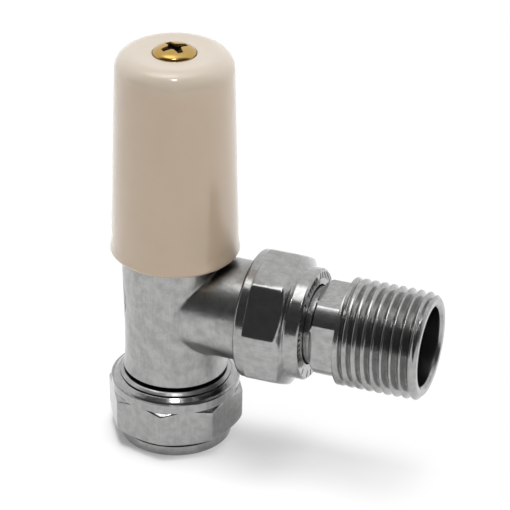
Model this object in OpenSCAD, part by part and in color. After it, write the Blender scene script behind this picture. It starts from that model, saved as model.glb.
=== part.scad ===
// Manual radiator valve, angle pattern, with a compression pipe end and a union tail.
// Z is the pipe and spindle axis and points up, the tail runs along +X.
// The origin is the middle of the pipe nut's bottom face. Drawn closed, with both nuts tight.

/* [Pipe end] */
// Radius of the pipe socket in the body
socket_r = 7.6; // [7.5:0.05:7.7]
// Width across flats of the pipe nut
pipe_nut_af = 25; // [24.5:0.1:26]
// Height of the pipe nut
pipe_nut_h = 13.4; // [13:0.1:14]
// Angle of the pipe nut's first corner from +X, degrees
pipe_nut_turn = 9.3; // [0:0.1:44]
// Radius of the round collar at the foot of the pipe nut
foot_r = 11.15; // [11:0.05:11.5]
// Largest radius of the olive
olive_r = 8.7; // [8.5:0.05:8.8]
// Length of the olive
olive_len = 4.6; // [4:0.1:4.8]

/* [Body] */
// Height of the branch axis above the foot
branch_z = 29.7; // [29:0.1:31]
// Radius of the barrel at its waist
barrel_r = 9.8; // [9.6:0.05:10]
// Radius of the barrel where it goes into the cap
shoulder_r = 10.2; // [10:0.05:10.3]
// Radius of the branch
branch_r = 9.7; // [9.5:0.05:9.9]
// Radius of the two male threads on the body, over the crests
boss_r = 10.3; // [10.2:0.05:10.4]
// Radius of the branch waterway
branch_bore_r = 5.6; // [5:0.1:5.8]
// Radius of the hole in the seat
seat_bore_r = 5.2; // [4.8:0.1:5.4]
// Radius of the chamber and of the headwork thread above it
chamber_r = 8; // [7.8:0.05:8.1]

/* [Headwork] */
// Width across flats of the headwork's octagon
headwork_af = 18; // [17:0.1:18.4]
// Radius of the spindle where it runs through the gland
spindle_r = 3.5; // [3.4:0.05:3.6]
// Radius over the spindle's thread
spindle_thread_r = 4.5; // [4.4:0.05:4.6]
// Width across flats of the gland nut
gland_nut_af = 13; // [12.5:0.1:14]
// Radius of the valve washer
washer_r = 6.6; // [6.4:0.05:6.8]

/* [Cap] */
// Radius of the cap's bottom lip
cap_lip_r = 12.5; // [12.4:0.05:12.8]
// Radius of the cap just below its shoulder
cap_top_r = 11.3; // [11.2:0.05:11.6]
// Height of the cap's crown above the foot
cap_top_z = 81.6; // [81:0.1:83]
// Radius of the cap's shoulder
cap_round_r = 3.5; // [3:0.1:4]
// Wall of the cap
cap_wall = 1.4; // [1.3:0.05:1.5]
// Radius of the cap screw's head
screw_head_r = 4.1; // [4:0.05:4.2]

/* [Union] */
// Width across flats of the union nut
union_nut_af = 25; // [24.5:0.1:26]
// Length of the union nut
union_nut_len = 12.35; // [12:0.05:12.5]
// Angle of the union nut's front flat above -Y, degrees
union_nut_turn = 31.4; // [0:0.1:44]
// Radius of the union nut's hole round the tail
union_hole_r = 7.75; // [7.7:0.05:7.9]

/* [Tail] */
// Distance from the valve axis to the tail's end
tail_end_x = 51.6; // [51:0.1:53]
// Radius of the tail's shank
shank_r = 9.05; // [8.9:0.05:9.2]
// Width across the shank's flats
shank_af = 15.4; // [15.2:0.1:16]
// Angle of the shank's front flat above -Y, degrees
shank_turn = -3; // [-45:1:45]
// Radius over the thread at its gauge plane
tail_thread_r = 10.478; // [10.4:0.001:10.5]
// Pitch of the tail's taper thread
tail_pitch = 1.814; // [1.8:0.001:1.83]
// Radius of the tail's wide bore
tail_bore_r = 7.68; // [7.5:0.01:7.8]

/* [Hidden] */
$fn = 96;
// Gaps: a shaft that turns in its hole, a screwed joint, a closed face and a loose fit
run_gap = 0.05;
screw_gap = 0.15;
face_gap = 0.1;
loose_gap = 0.3;
still_gap = 0.05;
// A rubber ring in its groove: the gap outside it, under it and at each side
ring_out = 0.02;
ring_under = 0.04;
ring_side = 0.1;
cut = 1;
corners = 8;
// An octagon's radius for a width across flats
oct_k = 1 / cos(180 / corners);

// Pipe nut
pipe_nut_R = pipe_nut_af / 2 * oct_k;
nut_bore_r = boss_r + screw_gap;
pipe_hole_r = socket_r + run_gap;
foot_edge = 0.4;
foot_h = 2.9;
foot_step = 0.5;
foot_cone_r = pipe_nut_af / 2 - foot_step;
foot_cone_h = 0.9;
nut_lip_h = 0.9;
nut_lip_wall = 0.75;
nut_lip_r = nut_bore_r + nut_lip_wall;
nut_lip_step = 0.5;
nut_round_over = 0.15;
nut_round_r = pipe_nut_af / 2 + nut_round_over;
nut_round_len = 1.8;
nut_cone_h = 0.77;
nut_floor = 2.2;
nut_seat_gap = 0.5;
nut_seat_r = olive_r + nut_seat_gap;
nut_mouth = 0.25;

// Olive
olive_rise = 0.55;
olive_z = nut_floor + olive_rise;
olive_top = olive_z + olive_len;
olive_nose = 0.85;
olive_nose_r = olive_r - olive_nose;
olive_taper = 1.35;

// Body, from the pipe end up
mouth_sink = 0.2;
mouth_gap = 0.4;
mouth_z = olive_top - olive_taper - mouth_sink;
mouth_r = olive_r + mouth_gap;
mouth_slope = tan(30);
mouth_h = (mouth_r - socket_r) / mouth_slope;
boss_edge = 0.7;
ring_z = pipe_nut_h + face_gap;
ring_h = 0.6;
ring_step = 0.5;
ring_slope = 0.55;
ring_r = boss_r + ring_step;
groove_h = 1;
groove_deep = 0.8;
groove_r = boss_r - groove_deep;
barrel_z = ring_z + ring_h + groove_h;
flare_step = 0.35;
flare_r = barrel_r + flare_step;
flare_h = 4;
stop_z = 18;
seat_drop = 6.3;
seat_z = branch_z - seat_drop;
seat_lip_h = 1;
seat_lip_w = 1.2;
seat_lip_r = seat_bore_r + seat_lip_w;
swell_drop = 6;
swell_rise = 7;
neck_rise = 10.4;
neck_wall = 1.9;
neck_edge = 0.5;
body_rise = 16.3;
neck_z = branch_z + neck_rise;
neck_r = chamber_r + neck_wall;
body_top = branch_z + body_rise;

// Branch
branch_end = 21.5;
branch_thread_x = 16.9;
branch_groove_x = 16.2;
branch_groove_deep = 1;
branch_groove_r = boss_r - branch_groove_deep;
spigot_r = 6.85;
socket_gap = 0.15;
branch_socket_r = spigot_r + socket_gap;
branch_socket_x = 17.4;

// Headwork
seal_t = 0.5;
seal_inset = 0.1;
seal_in_r = chamber_r + seal_inset;
seal_out_r = neck_r - seal_inset;
flange_z = body_top + seal_t + 2 * still_gap;
flange_h = 4.5;
flange_edge = 0.6;
headwork_R = headwork_af / 2 * oct_k;
headwork_reach = 0.6;
headwork_foot = neck_z - headwork_reach;
headwork_thread_r = chamber_r - still_gap;
headwork_bore_r = spindle_thread_r + run_gap;
gland_hole_r = spindle_r + run_gap;
gland_r = 5.4;
cup_wall = 1.9;
back_seat_h = 1.6;
cup_deep = 4.3;
cup_r = gland_r + cup_wall;
back_seat_z = flange_z + flange_h;
gland_z = back_seat_z + back_seat_h;
cup_top = gland_z + cup_deep;
packing_h = 1.9;
follower_h = 0.6;
plug_r = gland_r - still_gap;
gland_nut_h = 3.2;
gland_edge = 0.5;

// Jumper and washer
washer_z = seat_z + seat_lip_h + face_gap;
washer_h = 3;
plate_h = 1.8;
plate_edge = 0.3;
plate_r = washer_r;
stud_r = 1.5;
jumper_pin_r = 2;
jumper_pin_h = 6;
jumper_nut_af = 5.5;
jumper_nut_h = 1.8;
stud_over = 0.6;
plate_z = washer_z + washer_h + still_gap;
plate_top = plate_z + plate_h;

// Spindle
spindle_z = plate_top + face_gap;
shoe_r = 3.6;
spindle_edge = 0.5;
spindle_inset = 0.4;
spindle_thread_z = headwork_foot + spindle_inset;
spindle_thread_h = 5;
lift = 3.75;
head_land = 1;
ring_wire = 0.55;
spindle_ring_z = spindle_thread_z + spindle_thread_h + head_land + ring_wire;
ring_groove_r = headwork_bore_r - 2 * ring_wire - ring_out - ring_under;
spindle_head_z = back_seat_z - lift - loose_gap;
square_side = spindle_r * 1.4;
square_rise = 2.4;
square_z = cup_top + gland_nut_h + square_rise;
spindle_drop = 7.2;
spindle_top = cap_top_z - spindle_drop;
pin_room = 1.5;
tap_deep = 12;

// Cap
cap_rise = 1.1;
cap_z = branch_z + branch_r + cap_rise;
lip_h = 0.8;
lip_edge = 0.25;
lip_foot = 0.5;
lip_band = 0.2;
lip_fade = 0.7;
cap_low_r = cap_lip_r - lip_edge;
arc_steps = 12;
ceiling = 2.6;
ceiling_round = 2;
screw_rest = 1.4;
screw_dip = 0.15;
screw_side = 0.12;
cap_boss_r = 5.2;
cap_boss_rise = 0.6;
cap_boss_z = square_z + cap_boss_rise;
socket_gap_cap = 0.05;
rib_t = 1.2;
rib_rise = 1.3;
rib_root = 0.4;
rib_z = cap_boss_z + rib_rise;
screw_hole_r = 2.2;
screw_r = 2;
screw_sink = 0.6;
screw_seat_z = cap_top_z - screw_sink;
screw_rim = 0.6;
screw_dome = 1.1;
screw_full = 0.8;
screw_steps = 9;
screw_len = 12;
recess_r = 2.1;
recess_slot = 1.1;
recess_deep = 1.5;
recess_turn = 50;

// Union nut
union_overlap = 5.1;
union_x = branch_end - union_overlap;
union_end = union_x + union_nut_len;
union_R = union_nut_af / 2 * oct_k;
union_round_r = union_nut_af / 2;
union_round_len = 2.1;
union_bevel = 0.3;
union_bevel_len = 0.8;
union_cone_len = 1.5;
union_collar_len = 2.7;
union_collar_r = 10.8;
union_edge = 0.4;
union_wall = 4.5;
union_relief = 0.6;
union_relief_r = nut_bore_r - union_relief;
relief_gap = 0.8;
relief_x = branch_end + relief_gap;

// Tail
seat_ring_r = union_hole_r - run_gap;
seat_ring_x = branch_end + face_gap;
seat_ring_len = 0.7;
neck_gap = 0.25;
neck_tail_r = union_hole_r - neck_gap;
spigot_gap = 0.5;
spigot_x = branch_socket_x + spigot_gap;
spigot_wall = 1.85;
spigot_edge = 0.4;
tail_in_r = spigot_r - spigot_wall;
o_ring_in = 1.7;
o_ring_x = spigot_x + o_ring_in;
o_ring_wire = 0.6;
o_groove_half = o_ring_wire + ring_side;
o_groove_r = branch_socket_r - 2 * o_ring_wire - ring_out - ring_under;
clip_wire = 0.8;
clip_x = union_end - union_wall - clip_wire - still_gap;
clip_proud = 0.25;
clip_mid_r = neck_tail_r + clip_proud;
clip_groove_r = clip_mid_r - clip_wire;
neck_show = 1.5;
shank_x = union_end + neck_show;
shank_edge = 0.45;
thread_len = 16.1;
thread_x = tail_end_x - thread_len;
last_root = 0.35;
crest_flat = 0.26;
root_flat = 0.3;
thread_deep = 1.1;
gauge_len = 8.2;
taper = 1 / 32;
thread_turns = 8;
end_edge = 1.3;
mouth_edge = 0.55;
cone_in = 1;
cone_x = thread_x + cone_in;
cone_len = 1.9;

// Radius over the thread's crests at a distance along X
function crest_r(x) = tail_thread_r + (tail_end_x - gauge_len - x) * taper;

// Points of a quarter round, from its outer side up to its top
function round_pts(r_in, z_in, r) =
  [for (i = [0 : arc_steps]) [r_in + r * cos(90 * i / arc_steps), z_in + r * sin(90 * i / arc_steps)]];

module turned(points) {
  rotate_extrude() polygon(points);
}

module turned_x(points) {
  rotate([0, 90, 0]) rotate_extrude() polygon(points);
}

module octagon(r, h) {
  cylinder(h = h, r = r, $fn = corners);
}

module wire_ring(mid_r, wire) {
  rotate_extrude() translate([mid_r, 0]) circle(r = wire, $fn = 32);
}

// Forged body: barrel, branch, both male threads, seat and waterways
module valve_body() {
  color("Silver")
    difference() {
      union() {
        turned([
          [0, mouth_z],
          [boss_r - boss_edge, mouth_z],
          [boss_r, mouth_z + boss_edge],
          [boss_r, ring_z],
          [ring_r, ring_z],
          [ring_r - ring_slope, ring_z + ring_h],
          [groove_r, ring_z + ring_h],
          [groove_r, barrel_z],
          [flare_r, barrel_z],
          [barrel_r, barrel_z + flare_h],
          [barrel_r, branch_z - swell_drop],
          [shoulder_r, branch_z + swell_rise],
          [shoulder_r, neck_z],
          [neck_r, neck_z + neck_edge],
          [neck_r, body_top],
          [0, body_top]
        ]);
        translate([0, 0, branch_z])
          turned_x([
            [0, 0],
            [branch_r, 0],
            [branch_r, branch_groove_x],
            [branch_groove_r, branch_groove_x],
            [branch_groove_r, branch_thread_x],
            [boss_r, branch_thread_x],
            [boss_r, branch_end - boss_edge],
            [boss_r - boss_edge, branch_end],
            [0, branch_end]
          ]);
      }
      turned([
        [0, mouth_z - cut],
        [mouth_r, mouth_z - cut],
        [mouth_r, mouth_z],
        [socket_r, mouth_z + mouth_h],
        [socket_r, stop_z],
        [seat_bore_r, stop_z],
        [seat_bore_r, seat_z + seat_lip_h],
        [seat_lip_r, seat_z + seat_lip_h],
        [seat_lip_r, seat_z],
        [chamber_r, seat_z],
        [chamber_r, body_top + cut],
        [0, body_top + cut]
      ]);
      translate([0, 0, branch_z])
        turned_x([
          [0, 0],
          [branch_bore_r, 0],
          [branch_bore_r, branch_socket_x],
          [branch_socket_r, branch_socket_x],
          [branch_socket_r, branch_end - mouth_edge],
          [branch_socket_r + mouth_edge / 2, branch_end],
          [branch_socket_r + mouth_edge / 2, branch_end + cut],
          [0, branch_end + cut]
        ]);
    }
}

// Compression ring on the pipe
module olive() {
  color("Goldenrod")
    turned([
      [socket_r - run_gap, olive_z],
      [olive_nose_r, olive_z],
      [olive_r, olive_z + olive_taper],
      [olive_r, olive_top - olive_taper],
      [olive_nose_r, olive_top],
      [socket_r - run_gap, olive_top]
    ]);
}

// Eight-sided nut round the pipe, with a round collar at each end
module compression_nut() {
  lip_z = pipe_nut_h - nut_lip_h;
  round_z = lip_z - nut_round_len;
  color("Silver")
    difference() {
      intersection() {
        rotate([0, 0, pipe_nut_turn]) octagon(pipe_nut_R, pipe_nut_h);
        turned([
          [0, 0],
          [foot_r - foot_edge, 0],
          [foot_r, foot_edge],
          [foot_r, foot_h],
          [foot_cone_r, foot_h],
          [pipe_nut_R + cut / 2, foot_h + foot_cone_h],
          [pipe_nut_R + cut / 2, round_z - nut_cone_h],
          [nut_round_r, round_z],
          [nut_round_r, lip_z],
          [nut_round_r - nut_lip_step, lip_z],
          [nut_lip_r, pipe_nut_h],
          [0, pipe_nut_h]
        ]);
      }
      turned([
        [0, -cut],
        [pipe_hole_r, -cut],
        [pipe_hole_r, nut_floor],
        [nut_seat_r, nut_floor + nut_seat_r - pipe_hole_r],
        [nut_bore_r, nut_floor + nut_seat_r - pipe_hole_r],
        [nut_bore_r, pipe_nut_h - nut_mouth],
        [nut_bore_r + nut_mouth, pipe_nut_h],
        [nut_bore_r + nut_mouth, pipe_nut_h + cut],
        [0, pipe_nut_h + cut]
      ]);
    }
}

// Headwork screwed into the body: octagon flange, spindle guide and packing cup
module headwork() {
  color("Goldenrod")
    difference() {
      union() {
        turned([
          [0, headwork_foot],
          [headwork_thread_r - boss_edge, headwork_foot],
          [headwork_thread_r, headwork_foot + boss_edge],
          [headwork_thread_r, flange_z + cut / 2],
          [0, flange_z + cut / 2]
        ]);
        intersection() {
          translate([0, 0, flange_z]) octagon(headwork_R, flange_h);
          turned([
            [0, flange_z],
            [headwork_R - flange_edge, flange_z],
            [headwork_R, flange_z + flange_edge / 2],
            [headwork_R, flange_z + flange_h - flange_edge],
            [headwork_R - 2 * flange_edge, flange_z + flange_h],
            [0, flange_z + flange_h]
          ]);
        }
        turned([
          [0, flange_z + flange_h / 2],
          [cup_r, flange_z + flange_h / 2],
          [cup_r, cup_top - flange_edge],
          [cup_r - flange_edge, cup_top],
          [0, cup_top]
        ]);
      }
      turned([
        [0, headwork_foot - cut],
        [headwork_bore_r, headwork_foot - cut],
        [headwork_bore_r, back_seat_z],
        [gland_hole_r, back_seat_z],
        [gland_hole_r, gland_z],
        [gland_r, gland_z],
        [gland_r, cup_top + cut],
        [0, cup_top + cut]
      ]);
    }
}

// Flat sealing ring under the headwork
module headwork_seal() {
  color("DarkSlateGray")
    turned([
      [seal_in_r, body_top + still_gap],
      [seal_out_r, body_top + still_gap],
      [seal_out_r, body_top + still_gap + seal_t],
      [seal_in_r, body_top + still_gap + seal_t]
    ]);
}

// Soft packing ring round the spindle
module gland_packing() {
  packing_z = gland_z + still_gap;
  color("WhiteSmoke")
    turned([
      [spindle_r + run_gap, packing_z],
      [plug_r, packing_z],
      [plug_r, packing_z + packing_h],
      [spindle_r + run_gap, packing_z + packing_h]
    ]);
}

// Metal ring between the packing and the gland nut
module gland_follower() {
  follower_z = gland_z + packing_h + 2 * still_gap;
  color("Goldenrod")
    turned([
      [spindle_r + run_gap, follower_z],
      [plug_r, follower_z],
      [plug_r, follower_z + follower_h],
      [spindle_r + run_gap, follower_z + follower_h]
    ]);
}

// Nut that screws into the packing cup and squeezes the packing
module gland_nut() {
  plug_z = gland_z + packing_h + follower_h + 3 * still_gap;
  head_z = cup_top + still_gap;
  gland_R = gland_nut_af / 2 / cos(30);
  color("Goldenrod")
    difference() {
      union() {
        translate([0, 0, plug_z]) cylinder(h = head_z - plug_z + cut / 2, r = plug_r);
        intersection() {
          translate([0, 0, head_z]) cylinder(h = gland_nut_h, r = gland_R, $fn = 6);
          turned([
            [0, head_z],
            [gland_R, head_z],
            [gland_R, head_z + gland_nut_h - gland_edge],
            [gland_R - 2 * gland_edge, head_z + gland_nut_h],
            [0, head_z + gland_nut_h]
          ]);
        }
      }
      translate([0, 0, plug_z - cut]) cylinder(h = gland_nut_h * 4, r = gland_hole_r);
    }
}

// Loose plate that carries the washer, with its pin up inside the spindle
module jumper() {
  color("Goldenrod")
    turned([
      [0, washer_z - jumper_nut_h - stud_over],
      [stud_r, washer_z - jumper_nut_h - stud_over],
      [stud_r, plate_z],
      [plate_r, plate_z],
      [plate_r, plate_top - plate_edge],
      [plate_r - plate_edge, plate_top],
      [jumper_pin_r, plate_top],
      [jumper_pin_r, plate_top + jumper_pin_h],
      [0, plate_top + jumper_pin_h]
    ]);
}

// Rubber washer that closes on the seat
module valve_washer() {
  color("DimGray")
    turned([
      [stud_r + still_gap, washer_z],
      [washer_r, washer_z],
      [washer_r, washer_z + washer_h],
      [stud_r + still_gap, washer_z + washer_h]
    ]);
}

// Small nut that holds the washer on the jumper
module washer_nut() {
  color("Goldenrod")
    translate([0, 0, washer_z - jumper_nut_h - still_gap])
      difference() {
        cylinder(h = jumper_nut_h, r = jumper_nut_af / 2 / cos(30), $fn = 6);
        translate([0, 0, -cut]) cylinder(h = jumper_nut_h + 2 * cut, r = stud_r + still_gap);
      }
}

// Spindle: jumper socket, thread, ring groove, plain stem and square end
module spindle() {
  groove_half = ring_wire + ring_side;
  color("Goldenrod")
    difference() {
      union() {
        turned([
          [0, spindle_z],
          [shoe_r - spindle_edge, spindle_z],
          [shoe_r, spindle_z + spindle_edge],
          [shoe_r, spindle_thread_z],
          [spindle_thread_r - spindle_edge, spindle_thread_z],
          [spindle_thread_r, spindle_thread_z + spindle_edge],
          [spindle_thread_r, spindle_ring_z - groove_half],
          [ring_groove_r, spindle_ring_z - groove_half],
          [ring_groove_r, spindle_ring_z + groove_half],
          [spindle_thread_r, spindle_ring_z + groove_half],
          [spindle_thread_r, spindle_head_z],
          [spindle_r, spindle_head_z],
          [spindle_r, square_z],
          [0, square_z]
        ]);
        intersection() {
          translate([-square_side / 2, -square_side / 2, square_z - cut])
            cube([square_side, square_side, spindle_top - square_z + cut]);
          turned([
            [0, square_z - cut],
            [spindle_r, square_z - cut],
            [spindle_r, spindle_top - spindle_edge],
            [spindle_r - spindle_edge, spindle_top],
            [0, spindle_top]
          ]);
        }
      }
      translate([0, 0, spindle_z - cut])
        cylinder(h = plate_top + jumper_pin_h + pin_room - spindle_z + cut, r = jumper_pin_r + run_gap);
      translate([0, 0, spindle_top - tap_deep]) cylinder(h = tap_deep + cut, r = screw_r + run_gap);
    }
}

// Rubber ring in the spindle's groove
module spindle_o_ring() {
  color("DimGray")
    translate([0, 0, spindle_ring_z])
      wire_ring(headwork_bore_r - ring_wire - ring_out, ring_wire);
}

// Plastic cap that turns the spindle, hollow, with a square socket and four ribs
module cap() {
  in_low = cap_low_r - cap_wall;
  in_top = cap_top_r - cap_wall;
  in_top_z = cap_top_z - ceiling;
  round_r = cap_top_r - cap_round_r;
  color("Wheat")
    difference() {
      union() {
        difference() {
          turned(concat(
            [
              [0, cap_z],
              [cap_lip_r - lip_foot, cap_z],
              [cap_lip_r, cap_z + lip_edge],
              [cap_lip_r, cap_z + lip_edge + lip_band],
              [cap_low_r, cap_z + lip_h + lip_fade]
            ],
            round_pts(round_r, cap_top_z - cap_round_r, cap_round_r),
            [
              [screw_head_r + screw_rest, cap_top_z - screw_dip],
              [0, cap_top_z - screw_dip]
            ]
          ));
          turned([
            [0, cap_z - cut],
            [in_low, cap_z - cut],
            [in_low, cap_z + lip_h],
            [in_top, in_top_z - ceiling_round],
            [in_top - ceiling_round, in_top_z],
            [0, in_top_z]
          ]);
        }
        translate([0, 0, cap_boss_z]) cylinder(h = in_top_z - cap_boss_z + cut / 2, r = cap_boss_r);
        intersection() {
          union() {
            translate([-cap_top_r, -rib_t / 2, rib_z]) cube([2 * cap_top_r, rib_t, in_top_z - rib_z + cut / 2]);
            translate([-rib_t / 2, -cap_top_r, rib_z]) cube([rib_t, 2 * cap_top_r, in_top_z - rib_z + cut / 2]);
          }
          translate([0, 0, rib_z]) cylinder(h = in_top_z - rib_z + cut / 2, r = in_top + rib_root);
        }
      }
      translate([-square_side / 2 - socket_gap_cap, -square_side / 2 - socket_gap_cap, cap_boss_z - cut])
        cube([
          square_side + 2 * socket_gap_cap,
          square_side + 2 * socket_gap_cap,
          spindle_top + loose_gap - cap_boss_z + cut
        ]);
      translate([0, 0, spindle_top - cut]) cylinder(h = cap_top_z, r = screw_hole_r);
      translate([0, 0, screw_seat_z - still_gap]) cylinder(h = cap_top_z, r = screw_head_r + screw_side);
    }
}

// Pan-head screw with a cross recess that holds the cap on the spindle
module cap_screw() {
  dome_z = screw_seat_z + screw_rim;
  top_z = dome_z + screw_dome;
  color("Gold")
    difference() {
      union() {
        turned(concat(
          [[0, screw_seat_z], [screw_head_r, screw_seat_z]],
          [
            for (i = [0:screw_steps])
              let (a = 90 * i / screw_steps)
                [screw_head_r * pow(cos(a), screw_full), dome_z + screw_dome * pow(sin(a), screw_full)]
          ]
        ));
        translate([0, 0, screw_seat_z - screw_len]) cylinder(h = screw_len + cut / 4, r = screw_r);
      }
      for (a = [0, 90])
        rotate([0, 0, a + recess_turn])
          translate([-recess_r, -recess_slot / 2, top_z - recess_deep])
            cube([2 * recess_r, recess_slot, recess_deep + cut]);
    }
}

// Eight-sided union nut, with a round collar at each end
module union_nut() {
  color("Silver")
    translate([0, 0, branch_z])
      difference() {
        intersection() {
          translate([union_x, 0, 0])
            rotate([-union_nut_turn, 0, 0])
              rotate([0, 90, 0])
                rotate([0, 0, 180 / corners]) octagon(union_R, union_nut_len);
          turned_x([
            [0, union_x],
            [union_round_r - union_edge, union_x],
            [union_round_r, union_x + union_edge],
            [union_round_r, union_x + union_round_len],
            [union_R - union_bevel, union_x + union_round_len],
            [union_R + cut / 2, union_x + union_round_len + union_bevel_len],
            [union_R + cut / 2, union_end - union_collar_len - union_cone_len],
            [union_collar_r, union_end - union_collar_len],
            [union_collar_r, union_end - union_edge],
            [union_collar_r - union_edge, union_end],
            [0, union_end]
          ]);
        }
        turned_x([
          [0, union_x - cut],
          [nut_bore_r + nut_mouth, union_x - cut],
          [nut_bore_r + nut_mouth, union_x],
          [nut_bore_r, union_x + nut_mouth],
          [nut_bore_r, relief_x],
          [union_relief_r, relief_x + union_relief],
          [union_relief_r, union_end - union_wall],
          [union_hole_r, union_end - union_wall],
          [union_hole_r, union_end + cut],
          [0, union_end + cut]
        ]);
      }
}

// Tail: spigot, neck, four-sided shank and male taper thread
module radiator_tail() {
  root_half = root_flat / 2;
  crest_half = crest_flat / 2;
  last_crest = tail_end_x - end_edge - crest_half;
  color("Silver")
    translate([0, 0, branch_z])
      difference() {
        union() {
          turned_x([
            [0, spigot_x],
            [spigot_r - spigot_edge, spigot_x],
            [spigot_r, spigot_x + spigot_edge],
            [spigot_r, o_ring_x - o_groove_half],
            [o_groove_r, o_ring_x - o_groove_half],
            [o_groove_r, o_ring_x + o_groove_half],
            [spigot_r, o_ring_x + o_groove_half],
            [spigot_r, seat_ring_x],
            [seat_ring_r, seat_ring_x],
            [seat_ring_r, seat_ring_x + seat_ring_len],
            [clip_groove_r, seat_ring_x + seat_ring_len],
            [clip_groove_r, clip_x + clip_wire],
            [neck_tail_r, clip_x + clip_wire],
            [neck_tail_r, shank_x + cut],
            [0, shank_x + cut]
          ]);
          intersection() {
            turned_x([
              [0, shank_x],
              [shank_r - shank_edge, shank_x],
              [shank_r, shank_x + shank_edge],
              [shank_r, thread_x + cut],
              [0, thread_x + cut]
            ]);
            rotate([-shank_turn, 0, 0])
              translate([shank_x - cut, -shank_af / 2, -shank_af / 2])
                cube([thread_x + 3 * cut - shank_x, shank_af, shank_af]);
          }
          turned_x(concat(
            [
              [0, thread_x],
              [crest_r(thread_x) - thread_deep, thread_x]
            ],
            [
              for (k = [thread_turns : -1 : 0])
                let (x = last_crest - k * tail_pitch)
                  each [
                    if (k < thread_turns)
                      [crest_r(x) - thread_deep, x - tail_pitch / 2 + root_half],
                    if (k < thread_turns || x > thread_x + thread_deep)
                      [crest_r(x), x - crest_half],
                    if (k < thread_turns || x > thread_x + thread_deep)
                      [crest_r(x), x + crest_half],
                    if (k > 0)
                      [crest_r(x) - thread_deep, x + tail_pitch / 2 - root_half]
                  ]
            ],
            [
              [crest_r(tail_end_x) - thread_deep + last_root, tail_end_x],
              [0, tail_end_x]
            ]
          ));
        }
        turned_x([
          [0, spigot_x - cut],
          [tail_in_r, spigot_x - cut],
          [tail_in_r, cone_x - cone_len],
          [tail_bore_r, cone_x],
          [tail_bore_r, tail_end_x - mouth_edge],
          [tail_bore_r + mouth_edge, tail_end_x],
          [tail_bore_r + mouth_edge, tail_end_x + cut],
          [0, tail_end_x + cut]
        ]);
      }
}

// Rubber ring that seals the tail's spigot in the branch
module tail_o_ring() {
  color("DimGray")
    translate([o_ring_x, 0, branch_z])
      rotate([0, 90, 0]) wire_ring(branch_socket_r - o_ring_wire - ring_out, o_ring_wire);
}

// Wire ring in the tail's groove that the union nut pulls on
module retaining_ring() {
  color("LightSteelBlue")
    translate([clip_x, 0, branch_z])
      rotate([0, 90, 0]) wire_ring(clip_mid_r + still_gap, clip_wire);
}

valve_body();
olive();
compression_nut();
headwork();
headwork_seal();
gland_packing();
gland_follower();
gland_nut();
jumper();
valve_washer();
washer_nut();
spindle();
spindle_o_ring();
cap();
cap_screw();
union_nut();
radiator_tail();
tail_o_ring();
retaining_ring();
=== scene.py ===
import math

import bmesh
import bpy
import numpy as np
from mathutils import Euler, Matrix, Vector


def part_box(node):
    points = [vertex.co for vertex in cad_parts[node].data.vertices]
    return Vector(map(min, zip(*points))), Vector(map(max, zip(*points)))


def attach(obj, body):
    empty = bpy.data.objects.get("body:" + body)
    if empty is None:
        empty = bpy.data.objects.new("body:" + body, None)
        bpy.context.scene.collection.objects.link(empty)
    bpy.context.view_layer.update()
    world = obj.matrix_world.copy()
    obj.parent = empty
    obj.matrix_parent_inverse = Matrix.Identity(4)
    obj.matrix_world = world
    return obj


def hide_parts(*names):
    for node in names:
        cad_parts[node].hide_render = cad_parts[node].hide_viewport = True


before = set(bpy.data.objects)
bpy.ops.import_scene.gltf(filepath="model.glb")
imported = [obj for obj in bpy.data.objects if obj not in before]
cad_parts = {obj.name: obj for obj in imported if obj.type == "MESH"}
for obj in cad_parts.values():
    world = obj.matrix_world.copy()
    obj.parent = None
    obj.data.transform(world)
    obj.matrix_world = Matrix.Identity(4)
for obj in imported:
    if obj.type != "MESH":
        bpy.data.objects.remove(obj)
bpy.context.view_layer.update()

bl_info = {
    "name": "Angle radiator valve",
    "version": (1, 0, 0),
    "blender": (4, 5, 0),
    "location": "View3D > Sidebar > Valve",
    "description": "Dresses the packed valve with its turned, forged and moulded surfaces",
    "category": "Object",
}

# Sizes inside the makers are millimetres, as on a drawing. Meshes and properties are metres.
MM = 0.001


def box_mm(node):
    """A node's lowest and highest corner, in millimetres."""
    low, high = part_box(node)
    return low / MM, high / MM


UNION_LOW, UNION_HIGH = box_mm("union_nut")
TAIL_HIGH = box_mm("radiator_tail")[1]
CAP_LOW, CAP_HIGH = box_mm("cap")
SCREW_LOW, SCREW_HIGH = box_mm("cap_screw")
BRANCH_Z = (UNION_LOW.z + UNION_HIGH.z) / 2
NUT_SIDES = 8


# Sizes and colours that a user would change

def length(name, description, value_mm):
    """A length property, kept in metres."""
    return bpy.props.FloatProperty(
        name=name, description=description, default=value_mm * MM,
        unit="LENGTH", precision=5, step=0.01)


def degrees(name, description, value):
    """An angle property, kept in radians."""
    return bpy.props.FloatProperty(
        name=name, description=description, default=math.radians(value),
        unit="ROTATION", subtype="ANGLE")


def amount(name, description, value):
    """A plain number, such as a brightness or a share."""
    return bpy.props.FloatProperty(name=name, description=description, default=value)


def shade(name, description, value):
    """A colour property, kept as an sRGB hex value."""
    return bpy.props.StringProperty(name=name, description=description, default=value)


class ValveBodySizes(bpy.types.PropertyGroup):
    waist_radius: length("Waist radius", "Radius of the barrel at its waist", 9.8)
    shoulder_radius: length("Shoulder radius", "Radius of the barrel inside the cap", 10.2)
    branch_radius: length("Branch radius", "Radius of the forged branch", 9.7)
    crease_fillet: length("Crease fillet", "Softness of the crease round the branch", 0.4)
    thread_radius: length("Thread radius", "Radius over the crests of both male threads", 10.3)
    thread_pitch: length("Thread pitch", "Distance from crest to crest", 1.814)
    thread_depth: length("Thread depth", "Height of a crest above its root", 0.95)


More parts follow.
